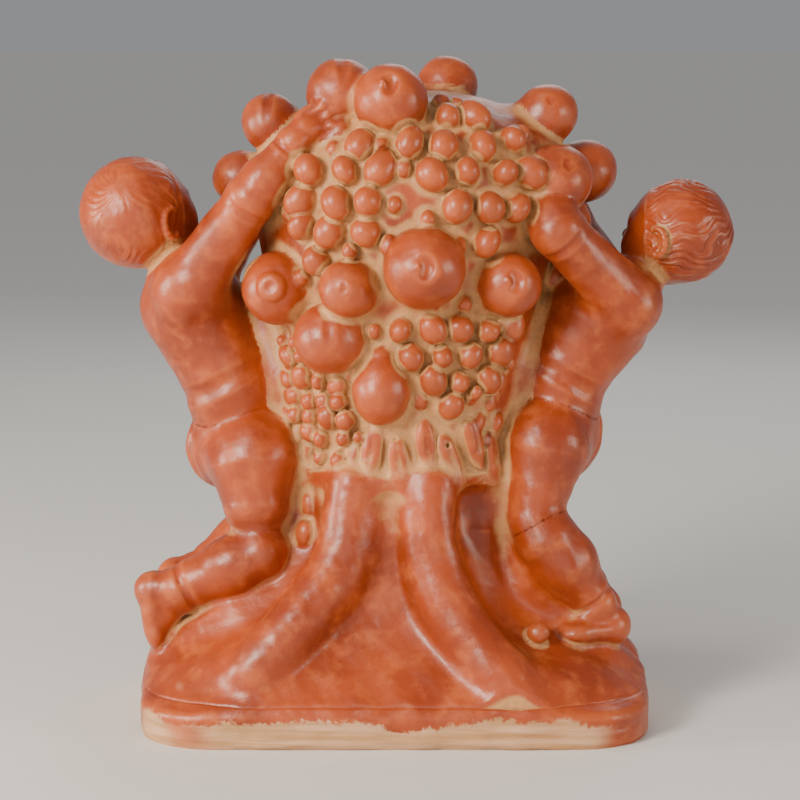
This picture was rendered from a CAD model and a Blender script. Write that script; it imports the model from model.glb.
# Looks of the clay tree of life: every lump is sculpted as a distance field, then skinned.
# Work is in millimetres in the CAD frame (+Z up, -Y towards the viewer) and only the
# finished meshes are in metres.  A piece is a blend of simple lumps.  All pieces blend into
# one clay surface, and each piece keeps the part of that surface nearest to its own lumps.

import math

import bpy
import numpy as np
import openvdb
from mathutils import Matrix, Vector
from mathutils.bvhtree import BVHTree


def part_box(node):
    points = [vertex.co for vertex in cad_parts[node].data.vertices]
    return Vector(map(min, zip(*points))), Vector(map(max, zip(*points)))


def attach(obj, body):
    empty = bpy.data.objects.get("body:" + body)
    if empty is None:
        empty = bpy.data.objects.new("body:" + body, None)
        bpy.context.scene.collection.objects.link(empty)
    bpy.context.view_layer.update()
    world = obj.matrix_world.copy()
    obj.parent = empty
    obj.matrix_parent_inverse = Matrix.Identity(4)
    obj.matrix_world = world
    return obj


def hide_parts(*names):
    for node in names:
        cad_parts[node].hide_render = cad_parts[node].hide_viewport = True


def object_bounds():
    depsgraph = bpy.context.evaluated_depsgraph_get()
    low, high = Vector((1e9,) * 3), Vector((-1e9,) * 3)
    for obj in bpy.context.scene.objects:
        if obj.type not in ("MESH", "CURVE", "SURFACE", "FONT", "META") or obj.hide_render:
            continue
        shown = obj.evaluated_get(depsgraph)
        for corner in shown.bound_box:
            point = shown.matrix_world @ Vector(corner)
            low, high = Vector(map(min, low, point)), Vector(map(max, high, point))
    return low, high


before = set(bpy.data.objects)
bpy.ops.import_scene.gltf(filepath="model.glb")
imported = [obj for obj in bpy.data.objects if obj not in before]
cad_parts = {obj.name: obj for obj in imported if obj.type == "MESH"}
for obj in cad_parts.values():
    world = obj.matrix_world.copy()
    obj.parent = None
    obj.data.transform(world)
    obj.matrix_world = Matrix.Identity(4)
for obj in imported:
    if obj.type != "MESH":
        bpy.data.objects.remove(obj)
cad_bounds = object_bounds()

MM = 0.001
# distance where nothing is near, and how far round a lump its distance is worked out
FAR = 30.0
MARGIN = 9.0
# spacing of the samples of the whole sculpture, and a factor on that of each piece
COARSE = 1.4
FINENESS = 1.0
FULL_TURN = np.linspace(0, 2 * math.pi, 13)
UP = np.array((0.0, 0.0, 1.0))
TO_VIEWER = np.array((0.0, -1.0, 0.0))


# ---- small vector help

def vec(*values):
    return np.array(values, float)


def unit(v):
    return v / np.linalg.norm(v)


def units(rows):
    return rows / np.maximum(np.linalg.norm(rows, axis=1, keepdims=True), 1e-9)


def between(a, b, t):
    return a + (b - a) * t


def arc(centre, first, second, turns):
    """Points round a centre, from the first arm towards the second."""
    return [centre + first * math.cos(t) + second * math.sin(t) for t in turns]


def node_box(node):
    low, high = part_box(node)
    return np.array(low) / MM, np.array(high) / MM


def node_points(node):
    """Vertices of a CAD node, in millimetres."""
    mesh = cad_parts[node].data
    points = np.zeros(len(mesh.vertices) * 3, np.float32)
    mesh.vertices.foreach_get("co", points)
    return points.reshape(-1, 3).astype(float) / MM


def node_islands(node):
    """Vertices of each separate solid of a CAD node."""
    points = node_points(node)
    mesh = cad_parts[node].data
    edges = np.zeros(len(mesh.edges) * 2, np.int64)
    mesh.edges.foreach_get("vertices", edges)
    edges = edges.reshape(-1, 2)
    keys, place = np.unique(np.round(points / 0.02).astype(np.int64), axis=0, return_inverse=True)
    edges = place.reshape(-1)[edges]
    label = np.arange(len(keys))
    while True:
        low = np.minimum(label[edges[:, 0]], label[edges[:, 1]])
        after = label.copy()
        np.minimum.at(after, edges[:, 0], low)
        np.minimum.at(after, edges[:, 1], low)
        after = after[after]
        if np.array_equal(after, label):
            break
        label = after
    label = label[place.reshape(-1)]
    return [points[label == one] for one in np.unique(label)]


def fitted_ball(points):
    """Centre and radius of the sphere through most of the points."""
    left = points
    for _ in range(3):
        rows = np.column_stack([2 * left, np.ones(len(left))])
        answer = np.linalg.lstsq(rows, (left ** 2).sum(axis=1), rcond=None)[0]
        centre = answer[:3]
        radius = math.sqrt(max(answer[3] + centre @ centre, 1.0))
        miss = np.abs(np.linalg.norm(points - centre, axis=1) - radius)
        left = points[miss <= max(np.median(miss) * 2.5, 0.05)]
    return centre, radius


# ---- distance fields

class Lump:
    """A distance function with the box that it is worth working out in."""

    def __init__(self, low, high, distance):
        self.low, self.high, self.distance = np.asarray(low), np.asarray(high), distance


def ball(centre, radius):
    centre = np.asarray(centre, float)

    def distance(x, y, z):
        return np.sqrt((x - centre[0]) ** 2 + (y - centre[1]) ** 2 + (z - centre[2]) ** 2) - radius

    return Lump(centre - radius, centre + radius, distance)


def egg(centre, radii, axes=((1, 0, 0), (0, 1, 0), (0, 0, 1))):
    """An ellipsoid with a radius along each of three axes."""
    centre = np.asarray(centre, float)
    most, least = max(radii), min(radii)

    def distance(x, y, z):
        x, y, z = x - centre[0], y - centre[1], z - centre[2]
        first = second = 0
        for axis, radius in zip(axes, radii):
            along = (axis[0] * x + axis[1] * y + axis[2] * z) / radius
            first = first + along ** 2
            second = second + (along / radius) ** 2
        size = np.sqrt(first)
        return (size - 1) * np.clip(size / np.sqrt(second + 1e-9), least, most)

    return Lump(centre - most, centre + most, distance)


def roll(a, b, start, end):
    """A tapered roll of clay with round ends."""
    a, b = np.asarray(a, float), np.asarray(b, float)
    along = b - a
    length2 = max(along @ along, 1e-6)
    reach = max(start, end)

    def distance(x, y, z):
        x, y, z = x - a[0], y - a[1], z - a[2]
        t = np.clip((x * along[0] + y * along[1] + z * along[2]) / length2, 0, 1)
        gap = (x - t * along[0]) ** 2 + (y - t * along[1]) ** 2 + (z - t * along[2]) ** 2
        return np.sqrt(gap) - (start + (end - start) * t)

    return Lump(np.minimum(a, b) - reach, np.maximum(a, b) + reach, distance)


def string(points, radius, soft):
    """Rolls of one thickness from point to point, with the softness of their joins."""
    return [(roll(a, b, radius, radius), soft) for a, b in zip(points, points[1:])]


def merge(a, b, soft):
    """The nearer of two distances, with a fillet of that softness."""
    overlap = np.maximum(soft - np.abs(a - b), 0) / soft
    return np.minimum(a, b) - overlap * overlap * (soft * 0.25)


def carve(a, b, soft):
    """What is left of a when b is taken out."""
    return -merge(-a, b, soft)


def smooth_line(points, steps):
    """A curve through the points, as more points."""
    points = np.asarray(points, float)
    ends = np.vstack([2 * points[0] - points[1], points, 2 * points[-1] - points[-2]])
    out = []
    for i in range(1, len(ends) - 2):
        p0, p1, p2, p3 = ends[i - 1:i + 3]
        for t in np.linspace(0, 1, steps, endpoint=False):
            out.append(0.5 * (
                2 * p1 + (p2 - p0) * t + (2 * p0 - 5 * p1 + 4 * p2 - p3) * t ** 2
                + (3 * p1 - p0 - 3 * p2 + p3) * t ** 3
            ))
    return np.array(out + [points[-1]])


class Grid:
    """Regular samples over a box."""

    def __init__(self, low, high, step):
        self.step = step
        self.low = np.floor(np.asarray(low) / step) * step
        count = np.ceil((np.asarray(high) - self.low) / step).astype(int) + 1
        self.axes = [
            (self.low[k] + step * np.arange(count[k])).astype(np.float32) for k in range(3)
        ]
        self.shape = tuple(count)

    def span(self, low, high):
        """Index ranges that cover a box, or None if it misses the grid."""
        spans = []
        for k in range(3):
            first = max(0, int(math.floor((low[k] - self.low[k]) / self.step)))
            last = min(self.shape[k], int(math.ceil((high[k] - self.low[k]) / self.step)) + 1)
            if last - first < 2:
                return None
            spans.append(slice(first, last))
        return tuple(spans)

    def coordinates(self, span):
        x, y, z = (axis[s] for axis, s in zip(self.axes, span))
        return x[:, None, None], y[None, :, None], z[None, None, :]

    def sample(self, values, points):
        """Values between the samples, by three-way linear blending."""
        place = (points - self.low) / self.step
        place = np.clip(place, 0, np.array(self.shape) - 1.001)
        base = place.astype(int)
        part = place - base
        total = 0
        for corner in range(8):
            bits = np.array([corner & 1, corner >> 1 & 1, corner >> 2 & 1])
            weight = np.prod(np.where(bits, part, 1 - part), axis=1)
            index = base + bits
            total = total + weight * values[index[:, 0], index[:, 1], index[:, 2]]
        return total

    def slope(self, values, points):
        """Unit direction in which the values rise fastest."""
        rise = np.zeros_like(points)
        for k in range(3):
            step = np.zeros(3)
            step[k] = self.step * 0.75
            rise[:, k] = self.sample(values, points + step) - self.sample(values, points - step)
        return units(rise)


class Piece:
    """One visible lump of clay, standing for one CAD node."""

    def __init__(self, node, slot, step, join, lumps, group="tree"):
        self.node, self.slot, self.join, self.group = node, slot, join, group
        self.step = step * FINENESS
        self.lumps = lumps
        self.grooves = []
        self.relief = None
        self.scuffs = []
        self.bare = []
        self.dusting = 0.0

    @property
    def low(self):
        return np.min([lump.low for lump, _ in self.lumps], axis=0)

    @property
    def high(self):
        return np.max([lump.high for lump, _ in self.lumps], axis=0)

    def at(self, points):
        """Distance of each point from the uncarved piece."""
        total = None
        for lump, soft in self.lumps:
            d = lump.distance(points[:, 0], points[:, 1], points[:, 2])
            total = d if total is None else merge(total, d, soft)
        return total

    def outward(self, points):
        """The way out of the piece at each point."""
        rise = np.column_stack([
            self.at(points + 0.2 * axis) - self.at(points - 0.2 * axis) for axis in np.eye(3)
        ])
        return units(rise)

    def on_skin(self, points):
        """The points moved onto the piece's surface."""
        points = np.array(points, float)
        for _ in range(4):
            points = points - self.outward(points) * self.at(points)[:, None]
        return points

    def crease(self, points, radius=1.6, depth=1.0, soft=2.5, steps=6):
        """Presses a round tool along a line on the surface, less and less towards its ends."""
        line = self.on_skin(smooth_line(points, steps))
        press = np.sin(np.linspace(0, math.pi, len(line))) ** 0.5
        stand = radius - depth * press + soft * (1 - 0.75 * press)
        self.grooves.append((line + self.outward(line) * stand[:, None], radius, soft))

    def lay(self, grid):
        """This piece's own distances over the part of the grid that it reaches."""
        margin = max([MARGIN, self.join + 1] + [soft + 1 for _, soft in self.lumps])
        low, high = self.low - margin, self.high + margin
        span = grid.span(low, high)
        if span is None:
            return None
        field = np.full([s.stop - s.start for s in span], FAR, np.float32)

        def window(from_low, to_high):
            part = grid.span(from_low, to_high) if (to_high > from_low).all() else None
            if part is None:
                return None, None
            return part, tuple(slice(s.start - o.start, s.stop - o.start) for s, o in zip(part, span))

        for lump, soft in self.lumps:
            part, inner = window(lump.low - margin, lump.high + margin)
            if part:
                values = lump.distance(*grid.coordinates(part)).astype(np.float32)
                field[inner] = merge(field[inner], values, soft)
        for line, radius, soft in self.grooves:
            reach = radius + soft
            ends = np.maximum(line.min(axis=0) - reach, low), np.minimum(line.max(axis=0) + reach, high)
            part, inner = window(*ends)
            if part:
                cut = np.full(field[inner].shape, FAR, np.float32)
                for bar, _ in string(line, radius, soft):
                    cut = np.minimum(cut, bar.distance(*grid.coordinates(part)))
                field[inner] = carve(field[inner], cut, soft)
        return span, field


PIECES = []
BY_NODE = {}


def add(piece):
    PIECES.append(piece)
    BY_NODE[piece.node] = piece
    return piece


class Ripple:
    """Smooth wandering noise made of a few waves, between about -1 and 1."""

    WAVES = 10

    def __init__(self, seed, wavelength):
        dice = np.random.default_rng(seed)
        direction = units(dice.normal(size=(self.WAVES, 3)))
        length = wavelength * dice.uniform(0.7, 1.5, self.WAVES)
        self.wave = direction * (2 * math.pi / length)[:, None]
        self.phase = dice.uniform(0, 2 * math.pi, self.WAVES)

    def __call__(self, points):
        return np.sin(points @ self.wave.T + self.phase).mean(axis=1) * math.sqrt(self.WAVES / 2)


# ---- slab, trunk, crown

BEARINGS = 144
ROWS = 48
ROW_INSET = 0.6
STEEPEST = 3


def reach_table(node, inside):
    """How far a CAD node reaches from its axis, by bearing and height."""
    tree = BVHTree.FromObject(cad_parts[node], bpy.context.evaluated_depsgraph_get())
    low, high = node_box(node)
    axis = (low + high) / 2
    if inside:
        roof = tree.ray_cast(Vector((axis[0], axis[1], low[2] - 1)) * MM, Vector(UP))
        high[2] = roof[0].z / MM if roof[0] else high[2]
    heights = np.linspace(low[2] + ROW_INSET, high[2] - ROW_INSET, ROWS)
    table = np.zeros((ROWS, BEARINGS))
    start, way = (0.0, 1) if inside else (400.0, -1)
    for i, height in enumerate(heights):
        for j in range(BEARINGS):
            angle = 2 * math.pi * j / BEARINGS
            out = Vector((math.sin(angle), -math.cos(angle), 0))
            hit = tree.ray_cast((Vector((axis[0], axis[1], height)) + out * start) * MM, out * way)
            table[i, j] = start + way * hit[3] / MM if hit[0] else 0.0
    return axis, heights, table


def look_up(values, row, column):
    """A table's value between its rows and columns."""
    above = np.clip(np.floor(row), 0, ROWS - 2).astype(int)
    down = np.clip(row - above, 0, 1)
    first = np.floor(column).astype(int)
    over = column - first
    left, right = first % BEARINGS, (first + 1) % BEARINGS
    return (
        (values[above, left] * (1 - over) + values[above, right] * over) * (1 - down)
        + (values[above + 1, left] * (1 - over) + values[above + 1, right] * over) * down
    )


def turned(node, table_of, shift=0.0, sink=0.0):
    """A lump that follows a reach table."""
    axis, heights, table = table_of
    step = heights[1] - heights[0]
    climb = np.gradient(table, step, axis=0)
    low, high = node_box(node)
    high[2] = heights[-1] + ROW_INSET

    def distance(x, y, z):
        x, y, z = np.broadcast_arrays(x - axis[0], y - axis[1], z)
        column = (np.arctan2(x, -y) / (2 * math.pi) * BEARINGS) % BEARINGS
        row = (z - heights[0]) / step
        slope = np.clip(look_up(climb, row, column), -STEEPEST, STEEPEST)
        side = (np.hypot(x, y) - look_up(table, row, column) - shift) / np.sqrt(1 + slope ** 2)
        return np.maximum(side, np.maximum(low[2] - sink - z, z - high[2]))

    return Lump(low - UP * sink, high, distance)


def rounded_slab(low, high, corner, edge):
    """A box with round upright corners and eased edges."""
    middle, half = (low + high) / 2, (high - low) / 2

    def distance(x, y, z):
        dx = np.abs(x - middle[0]) - (half[0] - corner)
        dy = np.abs(y - middle[1]) - (half[1] - corner)
        flat = np.hypot(np.maximum(dx, 0), np.maximum(dy, 0))
        flat = flat + np.minimum(np.maximum(dx, dy), 0) - (corner - edge)
        up = np.abs(z - middle[2]) - (half[2] - edge)
        return np.hypot(np.maximum(flat, 0), np.maximum(up, 0)) + np.minimum(np.maximum(flat, up), 0) - edge

    return Lump(low, high, distance)


slab_low, slab_high = node_box("base_slab")
trunk_low, trunk_high = node_box("fluted_trunk")
crown_low, crown_high = node_box("crown_core")
TRUNK_OUT = reach_table("fluted_trunk", False)
TRUNK_IN = reach_table("fluted_trunk", True)
CROWN_OUT = reach_table("crown_core", False)
CROWN_IN = reach_table("crown_core", True)


def trunk_spot(bearing, share, stand=0.0):
    """A point on the trunk: bearing from the front, share of its height, lift off it."""
    axis, heights, table = TRUNK_OUT
    reach = look_up(table, share * (ROWS - 1), (bearing / 360.0 * BEARINGS) % BEARINGS)
    angle = math.radians(bearing)
    out = vec(math.sin(angle), -math.cos(angle), 0)
    return vec(*axis[:2], between(heights[0], heights[-1], share)) + out * (reach + stand)


# bearing and share of the trunk's height along each root ridge, from the top down
RIDGES = [
    [(-27, 1.0), (-30, 0.65), (-38, 0.40), (-46, 0.16)],
    [(20, 1.0), (21, 0.65), (28, 0.39), (39, 0.08)],
    [(156, 1.0), (154, 0.65), (147, 0.40), (137, 0.12)],
    [(206, 1.0), (209, 0.65), (217, 0.40), (226, 0.16)],
]
# the same for the valleys, with the groove's radius and depth
VALLEYS = [
    ([(42, 0.96), (43, 0.72), (45, 0.50), (51, 0.26), (56, 0.16)], 12.0, 7.0),
    ([(136, 0.94), (134, 0.70), (128, 0.48), (122, 0.28)], 12.0, 6.0),
    ([(224, 0.92), (228, 0.70), (236, 0.50), (243, 0.34)], 11.0, 5.0),
]

# rolls of clay that bed the infants on the base, trunk and crown: place and radius
BEDDING = {
    "fluted_trunk": [
        [(-113, -17, 29, 20), (-84, -18, 51, 21), (-58, -16, 66, 21)],
        [(-113, 20, 29, 20), (-84, 22, 51, 21), (-58, 18, 68, 21)],
        [(-57, -9, 84, 17), (-57, -6, 124, 14)],
        [(-57, 14, 84, 18), (-57, 14, 124, 17)],
        [(106, -20, 20, 15), (86, -20, 34, 15), (70, -18, 74, 15), (56, -16, 122, 14)],
        [(106, 20, 20, 15), (86, 20, 34, 15), (70, 18, 74, 15), (56, 16, 122, 14)],
    ],
    "crown_core": [
        [(-60, -7, 138, 14), (-66, -5, 176, 13), (-77, -3, 212, 9)],
        [(-62, 12, 138, 17), (-68, 12, 176, 16), (-78, 8, 214, 11)],
        [(58, -7, 136, 13), (63, -6, 180, 12), (76, -4, 206, 9)],
        [(59, 12, 136, 15), (64, 12, 180, 14), (78, 8, 206, 10)],
    ],
}


SLAB_CORNER = 34.0
SLAB_EDGE = 4.0
RIDGE_RADIUS = 6.5
BAND_TOP = 13.0


def build_base():
    slab = rounded_slab(slab_low, slab_high + 2 * UP, SLAB_CORNER, SLAB_EDGE)
    piece = add(Piece("base_slab", "base_clay", step=1.15, join=18.0, lumps=[(slab, 1.0)]))
    dents, layers = Ripple(3, 26.0), Ripple(4, 9.0)

    def worn_foot(points):
        """Dents and layered tool marks that fade out above the bare band."""
        low = np.clip((BAND_TOP - points[:, 2]) / 3, 0, 1) * (points[:, 2] > 0.5)
        dent = -0.8 * np.clip(dents(points * vec(1, 1, 0.3)), 0, 1)
        return low * (dent + 0.35 * layers(points * vec(0.3, 0.3, 2.2)))

    piece.relief = worn_foot
    trunk = turned("fluted_trunk", TRUNK_OUT, sink=6.0)
    lumps = [(trunk, 1.0)]
    piece = add(Piece("fluted_trunk", "trunk_clay", step=1.15, join=18.0, lumps=lumps))
    for ridge in RIDGES:
        line = smooth_line([trunk_spot(*place, stand=-2.0) for place in ridge], 4)
        lumps += string(line, RIDGE_RADIUS, 16.0)
        piece.scuffs.append((line, RIDGE_RADIUS))
    for line, radius, depth in VALLEYS:
        piece.crease([trunk_spot(*place) for place in line], radius, depth, soft=8.0)
    crown = turned("crown_core", CROWN_OUT, shift=-1.0)
    core = add(Piece("crown_core", "crown_clay", step=1.2, join=12.0, lumps=[(crown, 1.0)]))
    core.dusting = 0.15
    for node, rolls in BEDDING.items():
        for places in rolls:
            for a, b in zip(places, places[1:]):
                BY_NODE[node].lumps.append((roll(a[:3], b[:3], a[3], b[3]), 12.0))


WELL_RIM = 25.0
WELL_CORNER = 30.0


def firing_hollow(grid, total):
    """Opens the well under the slab, and the hollow up through trunk and crown."""
    rim = vec(WELL_RIM, WELL_RIM, 0)
    well = rounded_slab(slab_low + rim - 10 * UP, slab_high - rim + UP, WELL_CORNER, 1.0)
    for lump in (
        well,
        turned("fluted_trunk", TRUNK_IN),
        turned("crown_core", CROWN_IN),
    ):
        span = grid.span(lump.low - 2, lump.high + 2)
        if span is None:
            continue
        values = lump.distance(*grid.coordinates(span))
        total[span] = np.maximum(total[span], -values)


# ---- fruit and grapes

def crown_out(point):
    """The way out of the crown at a point."""
    middle = (crown_low + crown_high) / 2
    half = (crown_high - crown_low) / 2
    away = (point - middle) / half ** 2
    away[2] = min(away[2], 0.6 * np.linalg.norm(away[:2])) if point[2] < 285 else away[2] * 1.5
    return unit(away)


def side_of(out):
    """Two directions along the surface: to the right, and up."""
    right = unit(np.cross(UP, out)) if abs(out[2]) < 0.98 else vec(1, 0, 0)
    return right, np.cross(out, right)


FRUIT_KINDS = {
    "apple": "stem", "peach": "seam", "orange": "star", "quince": "star",
    "pomegranate": "crown", "pear": "tip", "fig": "tip",
}


FRUIT_STEP = 0.8
GRAPE_STEP = 0.75


def build_fruit(node):
    """A round fruit with its own eye, seam or stem, or a hanging one with a neck."""
    kind = FRUIT_KINDS[node.rsplit("_", 1)[1]]
    low, high = node_box(node)
    if kind == "tip":
        middle, half = (low + high) / 2, (high - low) / 2
        out = crown_out(middle)
        wide = half[0] if half[0] < half[2] else half[2] * 0.7
        middle = middle - out * (wide * 0.32)
        body = egg(middle - UP * (half[2] * 0.18), (wide, wide, half[2] * 0.8))
        neck = roll(middle, middle + UP * (half[2] * 0.72), wide * 0.62, wide * 0.42)
        add(Piece(node, "crown_clay", FRUIT_STEP, join=5.0, lumps=[(body, 1.0), (neck, 8.0)]))
        return
    centre, radius = fitted_ball(node_points(node))
    out = crown_out(centre)
    right, up = side_of(out)
    dice = np.random.default_rng(sum(map(ord, node)))
    plain = TO_VIEWER if out[1] < 0 else -TO_VIEWER
    lean = unit(0.35 * out + plain + right * dice.uniform(-0.1, 0.3) + up * dice.uniform(0.0, 0.4))
    right, up = side_of(lean)
    axes = (right, up, lean)
    squash = dice.uniform(0.95, 1.0)
    body = egg(centre, (radius, radius * squash, radius * 0.99), axes)
    piece = add(Piece(node, "crown_clay", FRUIT_STEP, join=3.6, lumps=[(body, 1.0)]))
    piece.bare.append((centre + lean * radius, radius * 0.45))
    inward = unit(vec(crown_low[0] / 2 + crown_high[0] / 2, 0, min(centre[2] - 22, 262)) - centre)
    seat = roll(centre + inward * radius * 0.1, centre + inward * radius * 1.7, radius * 0.72, radius * 0.9)
    BY_NODE["crown_core"].lumps.append((seat, 8.0))
    tip = centre + lean * radius
    if kind == "stem":
        dimple = arc(tip, right * 2.6, up * 3.6, np.linspace(-1.9, 1.9, 6))
        piece.crease(dimple, radius=3.2, depth=3.2, soft=2.0, steps=3)
        stalk = tip - right * 1.8
        piece.lumps.append((roll(stalk - lean * 4, stalk + lean * 0.6 + up * 1.5, 1.7, 1.2), 1.6))
    elif kind == "seam":
        line = arc(centre, lean * radius, up * radius, np.linspace(-0.3, 1.3, 6))
        piece.crease(line, radius=2.6, depth=1.2, soft=2.6)
    elif kind == "crown":
        piece.lumps += string(arc(tip - lean * 1.5, right * 4.2, up * 4.2, FULL_TURN), 1.5, 3.4)
        piece.lumps.append((ball(tip - lean * 1.6, 2.4), 1.6))
    else:
        for a in dice.uniform(0, 2 * math.pi, 3):
            arm = right * math.cos(a) + up * math.sin(a)
            piece.crease([tip - arm, tip + arm, tip + arm * 3.2], radius=1.3, depth=0.8, soft=1.2)


def build_bunch(node, wild=1.0):
    """Grapes where the CAD has them, each a little different, with small ones between."""
    dice = np.random.default_rng(sum(map(ord, node)))
    lumps = []
    seats = [fitted_ball(island) for island in node_islands(node) if len(island) >= 12]
    typical = float(np.median([radius for _, radius in seats]))
    for centre, radius in seats:
        out = crown_out(centre)
        right, up = side_of(out)
        grow = dice.uniform(0.95 - 0.15 * wild, 1.0 + 0.10 * wild)
        long = unit(up + right * dice.uniform(-0.8, 0.8))
        wide = np.cross(out, long)
        slip = right * dice.uniform(-0.30, 0.30) + up * dice.uniform(-0.26, 0.26) \
            + out * dice.uniform(-0.28, 0.06)
        centre = centre + slip * radius * wild
        radii = (radius * grow * 0.92, radius * grow * dice.uniform(1.0, 1.22), radius * 0.98)
        lumps.append((egg(centre, radii, (wide, long, out)), 0.9))
    for centre, radius in list(seats) if len(seats) > 1 else []:
        out = crown_out(centre)
        right, up = side_of(out)
        for _ in range(5):
            spot = arc(centre, right * radius * 1.75, up * radius * 1.75, [dice.uniform(0, 2 * math.pi)])[0]
            spot = spot - out * radius * 0.35
            small = typical * dice.uniform(0.42, 0.62)
            gaps = [np.linalg.norm(spot - c) - r - small for c, r in seats]
            if min(gaps) > -small * 0.5:
                seats.append((spot, small))
                lumps.append((egg(spot, (small, small * 1.2, small), (right, up, out)), 0.8))
                break
    add(Piece(node, "crown_clay", GRAPE_STEP, join=1.8, lumps=lumps))


# beads that run down beside the infants: bearing on the crown or trunk, height, radius
BEADS = {
    "berries_front_lower_left": [
        (-70, 196, 4.2), (-67, 186, 5.0), (-72, 177, 4.0), (-66, 168, 5.2), (-70, 158, 4.4),
        (-62, 149, 5.0), (-56, 140, 5.6), (-60, 131, 4.6), (-58, 113, 6.2), (-57, 99, 6.8),
    ],
    "grapes_front_lower_right": [
        (51, 212, 5.0), (57, 201, 5.6), (52, 190, 4.6), (58, 178, 5.2), (53, 167, 4.4),
        (59, 156, 4.8), (52, 147, 4.2), (49, 178, 4.0), (47, 157, 4.6),
    ],
}
# bearing, height and radius of the ring-shaped knot
KNOT = (-74, 148, 6.4)


def on_tree(bearing, height):
    """The point of the trunk's or crown's skin at that bearing and height, and the way out."""
    host = BY_NODE["crown_core" if height > trunk_high[2] else "fluted_trunk"]
    angle = math.radians(bearing)
    out = vec(math.sin(angle), -math.cos(angle), 0)
    start = vec(trunk_low[0] / 2 + trunk_high[0] / 2, 0, height) + out * 58
    return host.on_skin([start])[0], out


def build_beads():
    """Small berries beside the infants, and a ring-shaped knot by the left one."""
    dice = np.random.default_rng(77)
    for node, beads in BEADS.items():
        for bearing, height, radius in beads:
            spot, out = on_tree(bearing, height)
            right, up = side_of(out)
            long = unit(up + right * dice.uniform(-0.5, 0.5))
            radii = (radius * 0.86, radius * 1.2, radius * 0.75)
            lump = egg(spot, radii, (np.cross(out, long), long, out))
            BY_NODE[node].lumps.append((lump, 0.9))
    piece = BY_NODE["berries_front_lower_left"]
    spot, out = on_tree(*KNOT[:2])
    right, up = side_of(out)
    rim = arc(spot, right * (0.6 * KNOT[2]), up * KNOT[2], FULL_TURN)
    piece.lumps += string(rim, 1.9, 1.2)
    piece.lumps.append((egg(spot, (2.2, 3.6, 1.6), (right, up, out)), 0.8))


def build_leaves(node):
    """Pointed leaves, each with a raised middle and a dished blade."""
    lumps = []
    ribs = []
    for island in node_islands(node):
        middle = (island.min(axis=0) + island.max(axis=0)) / 2
        out = unit((middle - (trunk_low + trunk_high) / 2) * vec(1, 1, 0))
        up = side_of(out)[1]
        centred = island - middle
        tall = unit(centred[np.argmax(centred @ up)] - centred[np.argmin(centred @ up)])
        wide = unit(np.cross(out, tall))
        long = tall * (centred @ tall).max()
        lumps.append((egg(middle - out * 0.6, (5.4, np.linalg.norm(long), 3.4), (wide, tall, out)), 0.6))
        lumps.append((roll(middle - long * 0.5, middle - long * 1.02, 2.6, 0.9), 2.4))
        ribs.append([middle - long * 0.8, middle, middle + long * 0.7])
    piece = add(Piece(node, "crown_clay", GRAPE_STEP, join=3.2, lumps=lumps))
    for line in ribs:
        piece.crease(line, radius=1.4, depth=0.9, soft=1.4)


# ---- the two infants

# Places in millimetres from the middle of the infant's head, and the radius of the flesh.
SKELETONS = {
    "left": {
        "face": 50.0, "tilt": 18.0,
        "nape": (17, -2, -18, 13), "collar": (30, -3, -37, 16), "chest": (29, -3, -48, 26.5),
        "waist": (48, -3, -86, 22), "roll": (49, -2, -95, 22.5), "pelvis": (53, 0, -115, 23.5),
        "front_buttock": (62, -14, -121, 22), "back_buttock": (46, 8, -122, 22),
        "front_shoulder": (30, -22, -36, 16.5), "front_elbow": (62, -41, 10, 12.0),
        "front_wrist": (83, -41, 37, 8.2), "front_palm": (89, -40, 43, 8.0),
        "front_fingers": (103, -40, 49, 4.0),
        "back_shoulder": (34, 18, -37, 15), "back_elbow": (59, 43, 6, 12.0),
        "back_wrist": (81, 45, 34, 8.2), "back_palm": (87, 45, 40, 8.0),
        "back_fingers": (100, 44, 47, 4.0),
        "front_hip": (60, -17, -128, 22), "front_knee": (62, -22, -147, 17),
        "front_calf": (64, -27, -172, 14.5), "front_ankle": (24, -25, -191, 12.5),
        "front_heel": (8, -22, -192, 8.5), "front_toes": (12, -21, -217, 8.5),
        "back_hip": (50, 15, -126, 20), "back_knee": (60, 29, -147, 16),
        "back_calf": (62, 34, -171, 14.5), "back_ankle": (29, 36, -195, 12.0),
        "back_heel": (14, 35, -197, 8.5), "back_toes": (19, 33, -219, 8.5),
    },
    "right": {
        "face": 146.0, "tilt": 8.0,
        "nape": (-16, -3, -14, 12.5), "collar": (-28, -4, -31, 16), "chest": (-44, -5, -46, 27.5),
        "waist": (-60, -5, -74, 20.5), "roll": (-61, -4, -86, 20.5), "pelvis": (-64, -2, -101, 22),
        "front_buttock": (-69, -16, -105, 22), "back_buttock": (-61, 8, -104, 22.5),
        "front_shoulder": (-29, -24, -34, 16), "front_elbow": (-66, -46, 4, 12.8),
        "front_wrist": (-73, -36, 20, 9.0), "front_palm": (-72, -31, 26, 8.0),
        "front_fingers": (-70, -27, 37, 4.0),
        "back_shoulder": (-34, 17, -33, 15.5), "back_elbow": (-57, 39, 4, 12.5),
        "back_wrist": (-65, 44, 25, 9.0), "back_palm": (-67, 44, 31, 8.0),
        "back_fingers": (-75, 43, 42, 4.0),
        "front_hip": (-70, -20, -113, 20), "front_knee": (-76, -29, -143, 13.5),
        "front_calf": (-69, -31, -155, 16.5), "front_ankle": (-45, -27, -189, 11.5),
        "front_heel": (-35, -25, -202, 8.5), "front_toes": (-57, -35, -203, 8.0),
        "back_hip": (-63, 13, -114, 19.0), "back_knee": (-76, 28, -149, 13.0),
        "back_calf": (-71, 30, -162, 15.0), "back_ankle": (-45, 30, -190, 10.5),
        "back_heel": (-35, 29, -204, 8.5), "back_toes": (-55, 37, -204, 8.0),
    },
}


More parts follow.
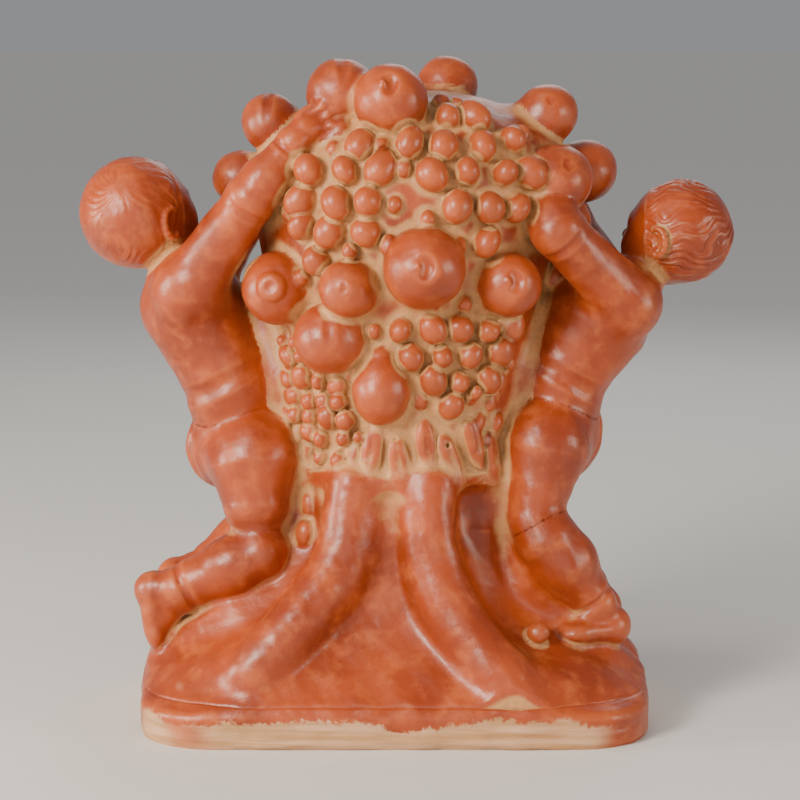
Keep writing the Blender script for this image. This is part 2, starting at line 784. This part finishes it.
class Infant:
    """Points and directions of one infant, in the frame's millimetres."""

    def __init__(self, side):
        self.side = side
        low, high = node_box(f"{side}_infant_head")
        self.head, self.size = (low + high) / 2, (high[2] - low[2]) / 2
        self.skeleton = SKELETONS[side]
        face, tilt = math.radians(self.skeleton["face"]), math.radians(self.skeleton["tilt"])
        level = vec(math.cos(face), math.sin(face), 0)
        self.forward = level * math.cos(tilt) + UP * math.sin(tilt)
        self.crown = UP * math.cos(tilt) - level * math.sin(tilt)
        self.across = np.cross(self.crown, self.forward)

    def p(self, name):
        """Where a place of the skeleton is."""
        return self.head + vec(*self.skeleton[name][:3])

    def r(self, name):
        """Radius of the flesh at a place of the skeleton."""
        return self.skeleton[name][3]

    def limb(self, first, second):
        return roll(self.p(first), self.p(second), self.r(first), self.r(second))

    def lump(self, name):
        return ball(self.p(name), self.r(name))

    def add(self, part, step, join, lumps):
        node = f"{self.side}_infant_{part}"
        return add(Piece(node, "infant_clay", step, join, lumps, group=self.side))

    def on_head(self, forward, across, up):
        """A point in head sizes: forward, to the infant's left, and up."""
        return self.head + self.size * (
            forward * self.forward + across * self.across + up * self.crown
        )

    def ring(self, first, second, share, facing, spread):
        """Points part of the way round the line between two places."""
        a, b = self.p(first), self.p(second)
        axis = unit(b - a)
        facing = unit(facing - axis * (facing @ axis))
        turns = np.radians(np.linspace(-spread, spread, 7))
        radius = self.r(second)
        return arc(between(a, b, share), facing * radius, np.cross(axis, facing) * radius, turns)


def build_torso(one):
    sideways = vec(-1 if one.side == "left" else 1, 0, 0)
    torso = one.add("torso", 0.85, 6.0, [
        (one.limb("chest", "waist"), 1.0),
        (one.limb("collar", "nape"), 9.0),
        (one.lump("front_shoulder"), 12.0),
        (one.lump("back_shoulder"), 12.0),
        (one.limb("waist", "roll"), 8.0),
    ])
    facing = TO_VIEWER + 0.35 * sideways
    torso.crease(one.ring("chest", "waist", 0.95, facing, 85), radius=4.0, depth=2.6, soft=3.5)
    torso.crease(one.ring("collar", "nape", 0.85, facing, 110), radius=2.4, depth=2.2, soft=2.4)
    hips = one.add("hips", 0.85, 5.0, [
        (one.lump("pelvis"), 1.0),
        (one.lump("front_buttock"), 7.0),
        (one.lump("back_buttock"), 7.0),
    ])
    cleft = between(one.p("front_buttock"), one.p("back_buttock"), 0.5) + 24 * (sideways - 0.12 * TO_VIEWER)
    hips.crease([cleft + UP * z for z in (16, 4, -8, -18)], radius=3.0, depth=4.0, soft=4.0)


def build_limbs(one):
    for place, facing in (("front", TO_VIEWER), ("back", -TO_VIEWER)):
        hip, knee, calf, ankle, shoulder, elbow, wrist = (
            f"{place}_{part}" for part in ("hip", "knee", "calf", "ankle", "shoulder", "elbow", "wrist")
        )
        one.add(f"{place}_thigh", 0.8, 8.0, [(one.limb(hip, knee), 1.0)])
        swell = ball(between(one.p(calf), one.p(ankle), 0.35), one.r(calf) * 1.03)
        leg = one.add(f"{place}_calf", 0.8, 6.0, [(one.limb(calf, ankle), 1.0), (swell, 6.0)])
        leg.crease(one.ring(calf, ankle, 0.93, facing, 120), radius=1.8, depth=2.2, soft=2.0)
        swell = ball(between(one.p(elbow), one.p(wrist), 0.35), one.r(elbow) * 0.95)
        arm = one.add(f"{place}_arm", 0.8, 6.0, [
            (one.limb(shoulder, elbow), 1.0), (one.limb(elbow, wrist), 5.0), (swell, 5.0),
        ])
        arm.crease(one.ring(elbow, wrist, 0.88, facing, 120), radius=1.6, depth=1.7, soft=1.8)
        bent = one.ring(shoulder, elbow, 0.93, facing - 0.6 * UP, 60)
        arm.crease(bent, radius=2.0, depth=1.8, soft=2.2)


def build_hands(one):
    """Hands laid flat on the fruit, four fingers and a thumb each."""
    lumps = []
    for place in ("front", "back"):
        wrist, palm, tips = (one.p(f"{place}_{part}") for part in ("wrist", "palm", "fingers"))
        ahead = unit(tips - palm)
        outward = TO_VIEWER if place == "front" else -TO_VIEWER
        outward = unit(outward - ahead * (outward @ ahead))
        across = np.cross(ahead, outward)
        lumps += [
            (roll(wrist, palm, 7.6, 7.2), 3.0),
            (egg(palm + ahead * 2, (9.0, 8.2, 4.6), (ahead, across, outward)), 3.0),
        ]
        for i, reach in enumerate((0.85, 1.0, 0.97, 0.8)):
            root = palm + ahead * 6 + across * (i - 1.5) * 4.2
            knuckle = root + ahead * 7 * reach + across * (i - 1.5) * 0.8 + outward * 0.6
            end = knuckle + ahead * 6.5 * reach - outward * 2.2
            lumps += [(roll(root, knuckle, 2.9, 2.6), 1.0), (roll(knuckle, end, 2.6, 1.9), 0.8)]
        thumb = palm - across * 7
        lumps.append((roll(thumb, thumb + ahead * 8 - across * 3 - outward, 2.9, 2.2), 1.6))
    one.add("hands", 0.65, 2.2, lumps)


# radius and reach of each toe, from the big one
TOES = ((4.0, 6.5), (3.2, 6.6), (3.0, 6.2), (2.8, 5.4), (2.6, 4.4))


def build_feet(one):
    """Chubby feet, soles outward. The front one's toes are sunk in the clay."""
    lumps = []
    for place in ("front", "back"):
        heel, toes, ankle = (one.p(f"{place}_{part}") for part in ("heel", "toes", "ankle"))
        ahead = unit(toes - heel)
        top = unit((ankle - heel) - ahead * ((ankle - heel) @ ahead))
        across = np.cross(ahead, top)
        length = np.linalg.norm(toes - heel)
        middle = between(heel, toes, 0.45)
        lumps += [
            (ball(heel + top * 0.5, 9.0), 3.0),
            (egg(middle, (length * 0.72, 10.5, 7.0), (ahead, across, top)), 4.0),
            (egg(toes - ahead * 2, (9.5, 11.0, 6.6), (ahead, across, top)), 4.0),
            (roll(heel + top * 3, ankle, 8.0, 9.0), 5.0),
            (roll(toes - ahead * 6 + top * 2, ankle, 5.5, 8.5), 5.0),
        ]
        for i, (size, reach) in enumerate(TOES if place == "back" else ()):
            side = across * (i - 1.9) * 4.6
            lumps.append((ball(toes + ahead * (reach - 1.5) + side - top, size), 3.4))
    one.add("feet", 0.7, 3.4, lumps)


def build_head(one):
    """A plain calm baby's head, with hair in wavy locks."""
    at, size = one.on_head, one.size
    axes = (one.forward, one.across, one.crown)

    def bump(place, radius, soft, sides=(1,)):
        spots = [at(place[0], place[1] * side, place[2]) for side in sides]
        return [(ball(spot, size * radius), soft) for spot in spots]

    def strip(start, end, first, last, soft, sides=(1,)):
        spans = [[at(f, a * side, u) for f, a, u in (start, end)] for side in sides]
        return [(roll(*span, size * first, size * last), soft) for span in spans]

    both = (1, -1)
    lumps = [
        (egg(one.head, (size * 0.98, size * 0.97, size * 0.98), axes), 1.0),
        (egg(at(0.40, 0, -0.30), (size * 0.66, size * 0.70, size * 0.66), axes), 8.0),
        *bump((0.62, 0.36, -0.42), 0.34, 6.0, both),
        *bump((0.86, 0, -0.74), 0.18, 5.0),
        *strip((0.99, 0, -0.02), (1.10, 0, -0.22), 0.06, 0.10, 3.0),
        *bump((1.13, 0, -0.26), 0.115, 2.0),
        *bump((1.05, 0.10, -0.30), 0.07, 1.5, both),
        *strip((0.90, 0.20, 0.10), (0.80, 0.46, 0.08), 0.09, 0.07, 4.0, both),
        *strip((1.00, 0.13, -0.50), (1.045, 0, -0.475), 0.035, 0.055, 1.2, both),
        *strip((0.99, 0.08, -0.565), (0.99, -0.08, -0.565), 0.06, 0.06, 1.2),
    ]
    head = one.add("head", 0.62, 3.0, lumps)

    def groove(places, sign, radius, depth, soft):
        head.crease([at(f, a * sign, u) for f, a, u in places], radius, depth, soft)

    for sign in both:
        groove(((0.95, 0.16, -0.02), (0.97, 0.30, 0.03), (0.85, 0.46, -0.01)), sign, 3.6, 2.6, 2.4)
        eye = egg(at(0.83, 0.30 * sign, -0.07), (size * 0.13, size * 0.15, size * 0.115), axes)
        head.lumps.append((eye, 1.4))
        groove(((0.98, 0.19, -0.10), (0.99, 0.30, -0.14), (0.9, 0.42, -0.10)), sign, 0.9, 0.9, 0.7)
        groove(((1.1, 0.13, -0.25), (1.0, 0.2, -0.34), (0.95, 0.24, -0.42)), sign, 1.4, 0.7, 1.6)
    groove(((1.05, 0.15, -0.53), (1.08, 0, -0.525), (1.05, -0.15, -0.53)), 1, 0.9, 1.1, 0.7)
    groove(((1.0, 0.12, -0.64), (1.05, 0, -0.66), (1.0, -0.12, -0.64)), 1, 1.6, 0.9, 1.8)
    head.relief = hair_of(one)


def hair_of(one):
    """Wavy locks that run from the whorl to the hairline: fainter on the left head."""
    seed, bold = (40, 0.34) if one.side == "left" else (50, 0.85)
    wander, patch = Ripple(seed, 16.0), Ripple(seed + 1, 26.0)
    whorl = unit(one.on_head(-0.62, -0.35, 0.70) - one.head)
    right, up = side_of(whorl)
    locks = 19

    def hair(points):
        away = (points - one.head) / one.size
        ahead, rise = away @ one.forward, away @ one.crown
        hairline = 0.52 + 0.22 * rise - 0.25 * np.abs(away @ one.across)
        cover = np.clip((hairline - ahead) * 6, 0, 1)
        fan = np.arctan2(away @ up, away @ right)
        polar = np.arccos(np.clip(away @ whorl / np.linalg.norm(away, axis=1), -1, 1))
        phase = locks * (fan + 0.85 * polar) + 2.4 * np.sin(polar * 5.0 + fan) + 3.2 * wander(points)
        fine = np.sin(phase * 2.7 + 2.0 * wander(points * 1.7))
        strength = np.clip(0.75 + 0.9 * patch(points), 0.12, 1.3) * np.clip(polar * 1.6, 0, 1)
        edge = 0.5 * np.exp(-((hairline - ahead) / 0.05) ** 2)
        return bold * cover * strength * (0.45 * np.sin(phase) + 0.25 * fine) + edge

    return hair


def build_ears(one):
    at, size = one.on_head, one.size
    lobes = []
    proud = 0.85 if one.side == "left" else 0.95
    for sign in (1, -1):
        middle = at(-0.06, proud * sign, -0.14)
        out = one.across * sign
        shell = egg(middle, (size * 0.15, size * 0.10, size * 0.24), (one.forward, out, one.crown))
        rim = arc(middle + out * (size * 0.09), one.crown * (size * 0.26), one.forward * (size * -0.17),
                  np.linspace(-0.7, 3.0, 9))
        drop = ball(middle + size * (0.03 * one.forward - 0.22 * one.crown + 0.07 * out), size * 0.075)
        lobes += [(shell, 1.0), *string(rim, size * 0.055, 1.0), (drop, 1.5)]
    ears = one.add("ears", 0.6, 1.2, lobes)
    for sign in (1, -1):
        middle = at(-0.02, 1.03 * sign, -0.12)
        line = [middle + one.crown * (size * share) for share in (0.13, 0, -0.12)]
        ears.crease(line, radius=2.0, depth=2.2, soft=1.0)


def build_infant(side):
    one = Infant(side)
    build_torso(one)
    build_limbs(one)
    build_hands(one)
    build_feet(one)
    build_head(one)
    build_ears(one)


# ---- joining and skinning

def sculpture(grid, chosen=None):
    """The whole surface, the chosen piece's own distance, and the nearest other's."""
    groups = {}
    own = np.full(grid.shape, FAR, np.float32)
    others = np.full(grid.shape, FAR, np.float32)
    for piece in PIECES:
        laid = piece.lay(grid)
        if laid is None:
            continue
        span, values = laid
        if piece.group not in groups:
            groups[piece.group] = np.full(grid.shape, FAR, np.float32)
        body = groups[piece.group]
        body[span] = merge(body[span], values, piece.join)
        if piece is chosen:
            own[span] = values
        elif chosen is not None:
            others[span] = np.minimum(others[span], values)
    total = None
    for group in ("tree", "left", "right"):
        if group in groups:
            total = groups[group] if total is None else merge(total, groups[group], TOUCH)
    firing_hollow(grid, total)
    return total, own, others


# softness where an infant meets the tree, and how far pieces overlap, in samples
TOUCH = 3.4
SEAM = 1.1
# room left round a piece's own lumps for its fillets
SKIRT = 3.0
# height where the trunk meets the crown
NECK = 138.0
# how far out to look for clay near by, and what each look adds to how hidden a place is
HOLLOW_PROBES = ((1.6, 0.34), (3.4, 0.36), (6.5, 0.30))
hand_marks = Ripple(11, 17.0)
thumb_marks = Ripple(12, 7.0)


def mesh_from(values, grid):
    """Closed mesh of where the values are below zero, in millimetres."""
    volume = openvdb.FloatGrid(FAR)
    volume.copyFromArray(np.ascontiguousarray(values, np.float32))
    points, quads = volume.convertToQuads(0.0)
    return points.astype(float) * grid.step + grid.low, quads[:, ::-1]


def shown_normals(points, quads, outer):
    """Normals worked out from the outer faces only, where a vertex has any."""
    a, b, c, d = (points[quads[:, k]] for k in range(4))
    facing = np.cross(c - a, d - b)
    weight = np.where(outer[quads].all(axis=1), 1.0, 1e-4)
    total = np.zeros_like(points)
    for k in range(4):
        for axis in range(3):
            total[:, axis] += np.bincount(
                quads[:, k], facing[:, axis] * weight, minlength=len(points)
            )
    return units(total)


def hiddenness(piece, points, out, coarse, coarse_values):
    """How much each point lies in a recess that keeps the pale slip, from 0 to about 1."""
    hidden = 0
    for reach, weight in HOLLOW_PROBES:
        room = coarse.sample(coarse_values, points + out * reach)
        hidden = hidden + weight * np.clip(1 - room / reach, 0, 1)
    if piece.group == "tree":
        hidden = hidden + 0.16 * np.exp(-((points[:, 2] - NECK) / 17.0) ** 2)
        hidden = hidden - 0.12 * np.clip((110 - points[:, 2]) / 30, 0, 1)
    hidden = hidden + piece.dusting
    for spot, radius in piece.bare:
        hidden = hidden * np.clip(np.linalg.norm(points - spot, axis=1) / radius, 0.3, 1)
    return hidden


def bend_of(points, coarse, coarse_values):
    """How far the surface curves away at each point: above 0 where it is proud."""
    h = coarse.step * 1.2
    bend = -6 * coarse.sample(coarse_values, points)
    for step in np.vstack([np.eye(3), -np.eye(3)]) * h:
        bend = bend + coarse.sample(coarse_values, points + step)
    return bend / h ** 2


def scuff_of(piece, points):
    """How near each point is to a line that hands have rubbed, from 0 to 1."""
    scuff = np.zeros(len(points))
    for line, width in piece.scuffs:
        near = np.full(len(points), np.inf)
        for bar, _ in string(line, 0, 0):
            near = np.minimum(near, bar.distance(*points.T))
        scuff = np.maximum(scuff, np.clip(1 - near / width, 0, 1))
    return scuff


def skin(piece, coarse, coarse_values):
    """A piece's closed mesh, its marks, and normals that run on into its neighbours."""
    grid = Grid(piece.low - SKIRT, piece.high + SKIRT, piece.step)
    total, own, others = sculpture(grid, piece)
    share = (own - others) / 2 - SEAM * piece.step
    values = np.maximum(total, share)
    for axis in range(3):
        ends = [slice(None)] * 3
        for end in (0, -1):
            ends[axis] = end
            values[tuple(ends)] = np.maximum(values[tuple(ends)], piece.step)
    points, quads = mesh_from(values, grid)
    depth = grid.sample(total, points)
    proud = depth - grid.sample(share, points)
    out = grid.slope(total, points)
    lift = 0.30 * hand_marks(points) + 0.10 * thumb_marks(points)
    if piece.relief:
        lift = lift + piece.relief(points)
    hidden = hiddenness(piece, points, out, coarse, coarse_values)
    bend = bend_of(points, coarse, coarse_values)
    marks = np.column_stack([hidden, bend * 2.0 + 0.5, scuff_of(piece, points), lift * 0.5 + 0.5])
    shallow = np.clip(1.5 + depth / (2 * piece.step), 0, 1)
    tuck = 0.35 * piece.step * np.clip(1 - proud / (0.6 * piece.step), 0, 1)
    points = points + out * ((lift - tuck) * shallow)[:, None]
    return points, quads, marks, shown_normals(points, quads, proud > -0.2 * piece.step)


def to_object(piece, points, quads, marks, normals):
    """Puts a skinned piece in the scene, in metres."""
    mesh = bpy.data.meshes.new(piece.node + "_clay")
    mesh.from_pydata([], [], [])
    mesh.vertices.add(len(points))
    mesh.vertices.foreach_set("co", (points * MM).astype(np.float32).ravel())
    mesh.loops.add(quads.size)
    mesh.loops.foreach_set("vertex_index", quads.astype(np.int32).ravel())
    mesh.polygons.add(len(quads))
    mesh.polygons.foreach_set("loop_start", np.arange(0, quads.size, 4, dtype=np.int32))
    mesh.update(calc_edges=True)
    mesh.validate()
    mesh.shade_smooth()
    mesh.normals_split_custom_set_from_vertices(normals.tolist())
    paint = mesh.attributes.new("marks", "FLOAT_COLOR", "POINT")
    paint.data.foreach_set("color", marks.astype(np.float32).ravel())
    shown = bpy.data.objects.new(piece.node + "_clay", mesh)
    bpy.context.scene.collection.objects.link(shown)
    mesh.materials.append(MATERIALS[piece.slot])
    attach(shown, "root")
    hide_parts(piece.node)


# ---- material

class Nodes:
    """Short calls for building a node tree."""

    def __init__(self, tree):
        self.tree = tree

    def node(self, kind, **settings):
        made = self.tree.nodes.new(kind)
        for key, value in settings.items():
            setattr(made, key, value)
        return made

    def link(self, source, target):
        self.tree.links.new(source, target)

    def value(self, socket, value):
        if hasattr(value, "is_output"):
            self.link(value, socket)
        else:
            socket.default_value = value

    def noise(self, scale, detail, rough, seed, stretch=(1, 1, 1)):
        where = self.node("ShaderNodeTexCoord")
        mapping = self.node("ShaderNodeMapping")
        mapping.inputs["Location"].default_value = (seed, seed * 0.7, -seed)
        mapping.inputs["Scale"].default_value = stretch
        self.link(where.outputs["Object"], mapping.inputs["Vector"])
        noise = self.node("ShaderNodeTexNoise")
        for key, number in (("Scale", scale), ("Detail", detail), ("Roughness", rough)):
            noise.inputs[key].default_value = number
        self.link(mapping.outputs["Vector"], noise.inputs["Vector"])
        return noise.outputs["Fac"]

    def math(self, operation, a, b, clamp=False):
        made = self.node("ShaderNodeMath", operation=operation, use_clamp=clamp)
        self.value(made.inputs[0], a)
        self.value(made.inputs[1], b)
        return made.outputs[0]

    def plus(self, a, b, clamp=False):
        return self.math("ADD", a, b, clamp)

    def times(self, a, b):
        return self.math("MULTIPLY", a, b)

    def swing(self, noise, amount):
        """A noise made to swing either side of nought."""
        return self.times(self.math("SUBTRACT", noise, 0.5), amount)

    def ramp(self, value, low, high):
        """From 0 at the low value to 1 at the high one, eased."""
        made = self.node("ShaderNodeMapRange", interpolation_type="SMOOTHSTEP")
        self.value(made.inputs["Value"], value)
        made.inputs["From Min"].default_value = low
        made.inputs["From Max"].default_value = high
        return made.outputs["Result"]

    def mix(self, share, a, b):
        made = self.node("ShaderNodeMix", data_type="RGBA")
        for socket, value in zip((made.inputs[0], made.inputs[6], made.inputs[7]), (share, a, b)):
            self.value(socket, value)
        return made.outputs[2]


RED = (0.36, 0.055, 0.011, 1)
DEEP = (0.23, 0.031, 0.006, 1)
ORANGE = (0.52, 0.115, 0.028, 1)
SLIP = (0.60, 0.29, 0.105, 1)
BUFF = (0.44, 0.235, 0.095, 1)
EARTH = (0.60, 0.36, 0.21, 1)
SCUFF = (0.74, 0.42, 0.26, 1)
GRIME = (0.09, 0.038, 0.012, 1)
# heights in metres between which the bare band along the foot fades out
BAND_FADE = (0.0150, 0.0128)


def clay_material(name, slip_from, slip_to, scuffed, band):
    """Burnished red clay with pale slip in the recesses and wear on the proud places."""
    material = bpy.data.materials.new(name)
    material.use_nodes = True
    tree = material.node_tree
    tree.nodes.clear()
    n = Nodes(tree)
    marks = n.node("ShaderNodeAttribute", attribute_name="marks")
    split = n.node("ShaderNodeSeparateColor")
    n.link(marks.outputs["Color"], split.inputs["Color"])
    hidden, bend, scuff = (split.outputs[k] for k in ("Red", "Green", "Blue"))
    relief = marks.outputs["Alpha"]
    large = n.noise(24.0, 3.0, 0.5, 1.0)
    middle = n.noise(90.0, 5.0, 0.6, 4.0)
    fine = n.noise(420.0, 4.0, 0.65, 9.0)
    grain = n.noise(1500.0, 3.0, 0.7, 2.0)
    body = n.mix(n.ramp(large, 0.35, 0.65), RED, DEEP)
    body = n.mix(n.times(n.ramp(middle, 0.45, 0.72), 0.55), body, ORANGE)
    body = n.mix(n.times(n.ramp(bend, 0.62, 0.95), 0.35), body, ORANGE)
    body = n.mix(n.times(n.ramp(fine, 0.58, 0.74), 0.18), body, DEEP)
    uneven = n.plus(n.swing(middle, 0.35), n.swing(fine, 0.22))
    slip = n.ramp(n.plus(hidden, uneven), slip_from, slip_to)
    body = n.mix(n.times(slip, 0.9), body, n.mix(n.ramp(fine, 0.3, 0.7), SLIP, BUFF))
    deepest = n.ramp(n.plus(hidden, n.times(uneven, 0.6)), 0.62, 0.9)
    body = n.mix(n.times(deepest, 0.30), body, GRIME)
    body = n.mix(n.times(n.ramp(relief, 0.66, 0.90), 0.26), body, SCUFF)
    worn = n.times(n.ramp(n.plus(scuff, uneven), 0.18, 0.85), scuffed)
    body = n.mix(worn, body, SCUFF)
    rough = n.plus(0.35, n.times(slip, 0.34))
    if band:
        where = n.node("ShaderNodeTexCoord")
        height = n.node("ShaderNodeSeparateXYZ")
        n.link(where.outputs["Object"], height.inputs["Vector"])
        edge = n.noise(16.0, 5.0, 0.6, 6.0, (1, 1, 0.4))
        level = n.plus(n.plus(height.outputs["Z"], n.swing(edge, 0.030)), n.swing(fine, 0.009))
        patch = n.ramp(n.noise(11.0, 3.0, 0.5, 13.0), 0.36, 0.50)
        bare = n.times(n.ramp(level, *BAND_FADE), patch)
        layers = n.noise(60.0, 4.0, 0.6, 3.0, (0.25, 0.25, 4.0))
        earth = n.mix(n.ramp(layers, 0.35, 0.65), BUFF, EARTH)
        body = n.mix(n.times(bare, 0.92), body, earth)
        rough = n.plus(rough, n.times(bare, 0.35), clamp=True)
    rough = n.plus(rough, n.swing(middle, 0.22), clamp=True)
    bumps = n.plus(n.times(middle, 0.5), n.times(fine, 0.35))
    bumps = n.plus(bumps, n.times(grain, 0.10))
    bump = n.node("ShaderNodeBump")
    bump.inputs["Strength"].default_value = 0.45
    bump.inputs["Distance"].default_value = 0.0011
    n.link(bumps, bump.inputs["Height"])
    shader = n.node("ShaderNodeBsdfPrincipled")
    n.link(body, shader.inputs["Base Color"])
    n.link(rough, shader.inputs["Roughness"])
    n.link(bump.outputs["Normal"], shader.inputs["Normal"])
    shader.inputs["Specular IOR Level"].default_value = 0.42
    shader.inputs["Coat Weight"].default_value = 0.12
    shader.inputs["Coat Roughness"].default_value = 0.26
    output = n.node("ShaderNodeOutputMaterial")
    n.link(shader.outputs["BSDF"], output.inputs["Surface"])
    return material


MATERIALS = {
    name: clay_material(name, *settings) for name, *settings in (
        ("base_clay", 0.40, 0.75, 0.5, True),
        ("trunk_clay", 0.24, 0.54, 0.85, True),
        ("crown_clay", 0.22, 0.50, 0.0, False),
        ("infant_clay", 0.28, 0.60, 0.0, False),
    )
}


# ---- light and camera

# place in metres, size, power and colour of each soft lamp
LAMPS = {
    "key": ((-0.95, -1.15, 0.75), 0.5, 34.0, (1.0, 0.91, 0.78)),
    "left": ((-1.3, -0.25, 0.30), 0.35, 13.0, (1.0, 0.90, 0.76)),
    "right": ((1.2, -0.55, 0.35), 0.4, 7.0, (1.0, 0.90, 0.76)),
    "front": ((0.25, -1.6, 0.25), 0.8, 4.0, (1.0, 0.94, 0.86)),
    "rear": ((0.3, 1.3, 1.1), 0.9, 5.0, (0.98, 0.97, 0.95)),
}
LAMP_AIM = Vector((0, 0, 0.16))


def set_stage():
    """A wide pale floor, an even grey sky and the lamps."""
    bpy.ops.mesh.primitive_plane_add(size=600.0, location=(0, 0, 0))
    floor = bpy.context.object
    floor.name = "floor"
    material = bpy.data.materials.new("floor_paper")
    material.use_nodes = True
    shader = material.node_tree.nodes["Principled BSDF"]
    shader.inputs["Base Color"].default_value = (0.72, 0.70, 0.67, 1)
    shader.inputs["Roughness"].default_value = 0.9
    floor.data.materials.append(material)
    world = bpy.data.worlds.new("studio")
    world.use_nodes = True
    sky = world.node_tree.nodes["Background"]
    sky.inputs["Color"].default_value = (0.92, 0.95, 1.0, 1)
    sky.inputs["Strength"].default_value = 0.30
    bpy.context.scene.world = world
    for name, (place, size, power, colour) in LAMPS.items():
        light = bpy.data.lights.new(name, "AREA")
        light.size, light.energy, light.color = size, power, colour
        lamp = bpy.data.objects.new(name, light)
        lamp.location = place
        lamp.rotation_euler = (LAMP_AIM - Vector(place)).to_track_quat("-Z", "Y").to_euler()
        bpy.context.scene.collection.objects.link(lamp)


def set_sun():
    """Even soft daylight over the whole floor."""
    light = bpy.data.lights.new("daylight", "SUN")
    light.energy, light.angle, light.color = 0.5, math.radians(50), (1.0, 0.96, 0.90)
    lamp = bpy.data.objects.new("daylight", light)
    lamp.rotation_euler = Vector((0.8, 1.0, -1.5)).to_track_quat("-Z", "Y").to_euler()
    bpy.context.scene.collection.objects.link(lamp)


def set_camera():
    """Level with the crown, looking 8 degrees down from 1.3 m away."""
    pitch, away = math.radians(8.0), 1.3
    target = Vector((-0.0033, 0, 0.1626))
    camera = bpy.data.cameras.new("camera")
    camera.lens, camera.sensor_width = 112.8, 36.0
    eye = bpy.data.objects.new("camera", camera)
    eye.location = target + Vector((0, -math.cos(pitch), math.sin(pitch))) * away
    eye.rotation_euler = (math.radians(90) - pitch, 0, 0)
    bpy.context.scene.collection.objects.link(eye)
    bpy.context.scene.camera = eye


# ---- everything

# room left round the whole sculpture
AROUND = 12.0


def main():
    build_base()
    fruits = [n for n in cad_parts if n.rsplit("_", 1)[-1] in FRUIT_KINDS]
    for node in sorted(fruits):
        build_fruit(node)
    for node in sorted(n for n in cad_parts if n.startswith("leaf_")):
        build_leaves(node)
    for node in sorted(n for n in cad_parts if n.startswith(("grapes_", "berries_"))):
        build_bunch(node, wild=1.5 if node.startswith("berries_") else 1.0)
    build_bunch("fallen_berry")
    build_beads()
    for side in ("left", "right"):
        build_infant(side)
    low, high = (np.array(corner) / MM for corner in cad_bounds)
    coarse = Grid(low - AROUND, high + AROUND, COARSE)
    coarse_values = sculpture(coarse)[0]
    for piece in PIECES:
        to_object(piece, *skin(piece, coarse, coarse_values))
    set_stage()
    set_sun()
    set_camera()


main()
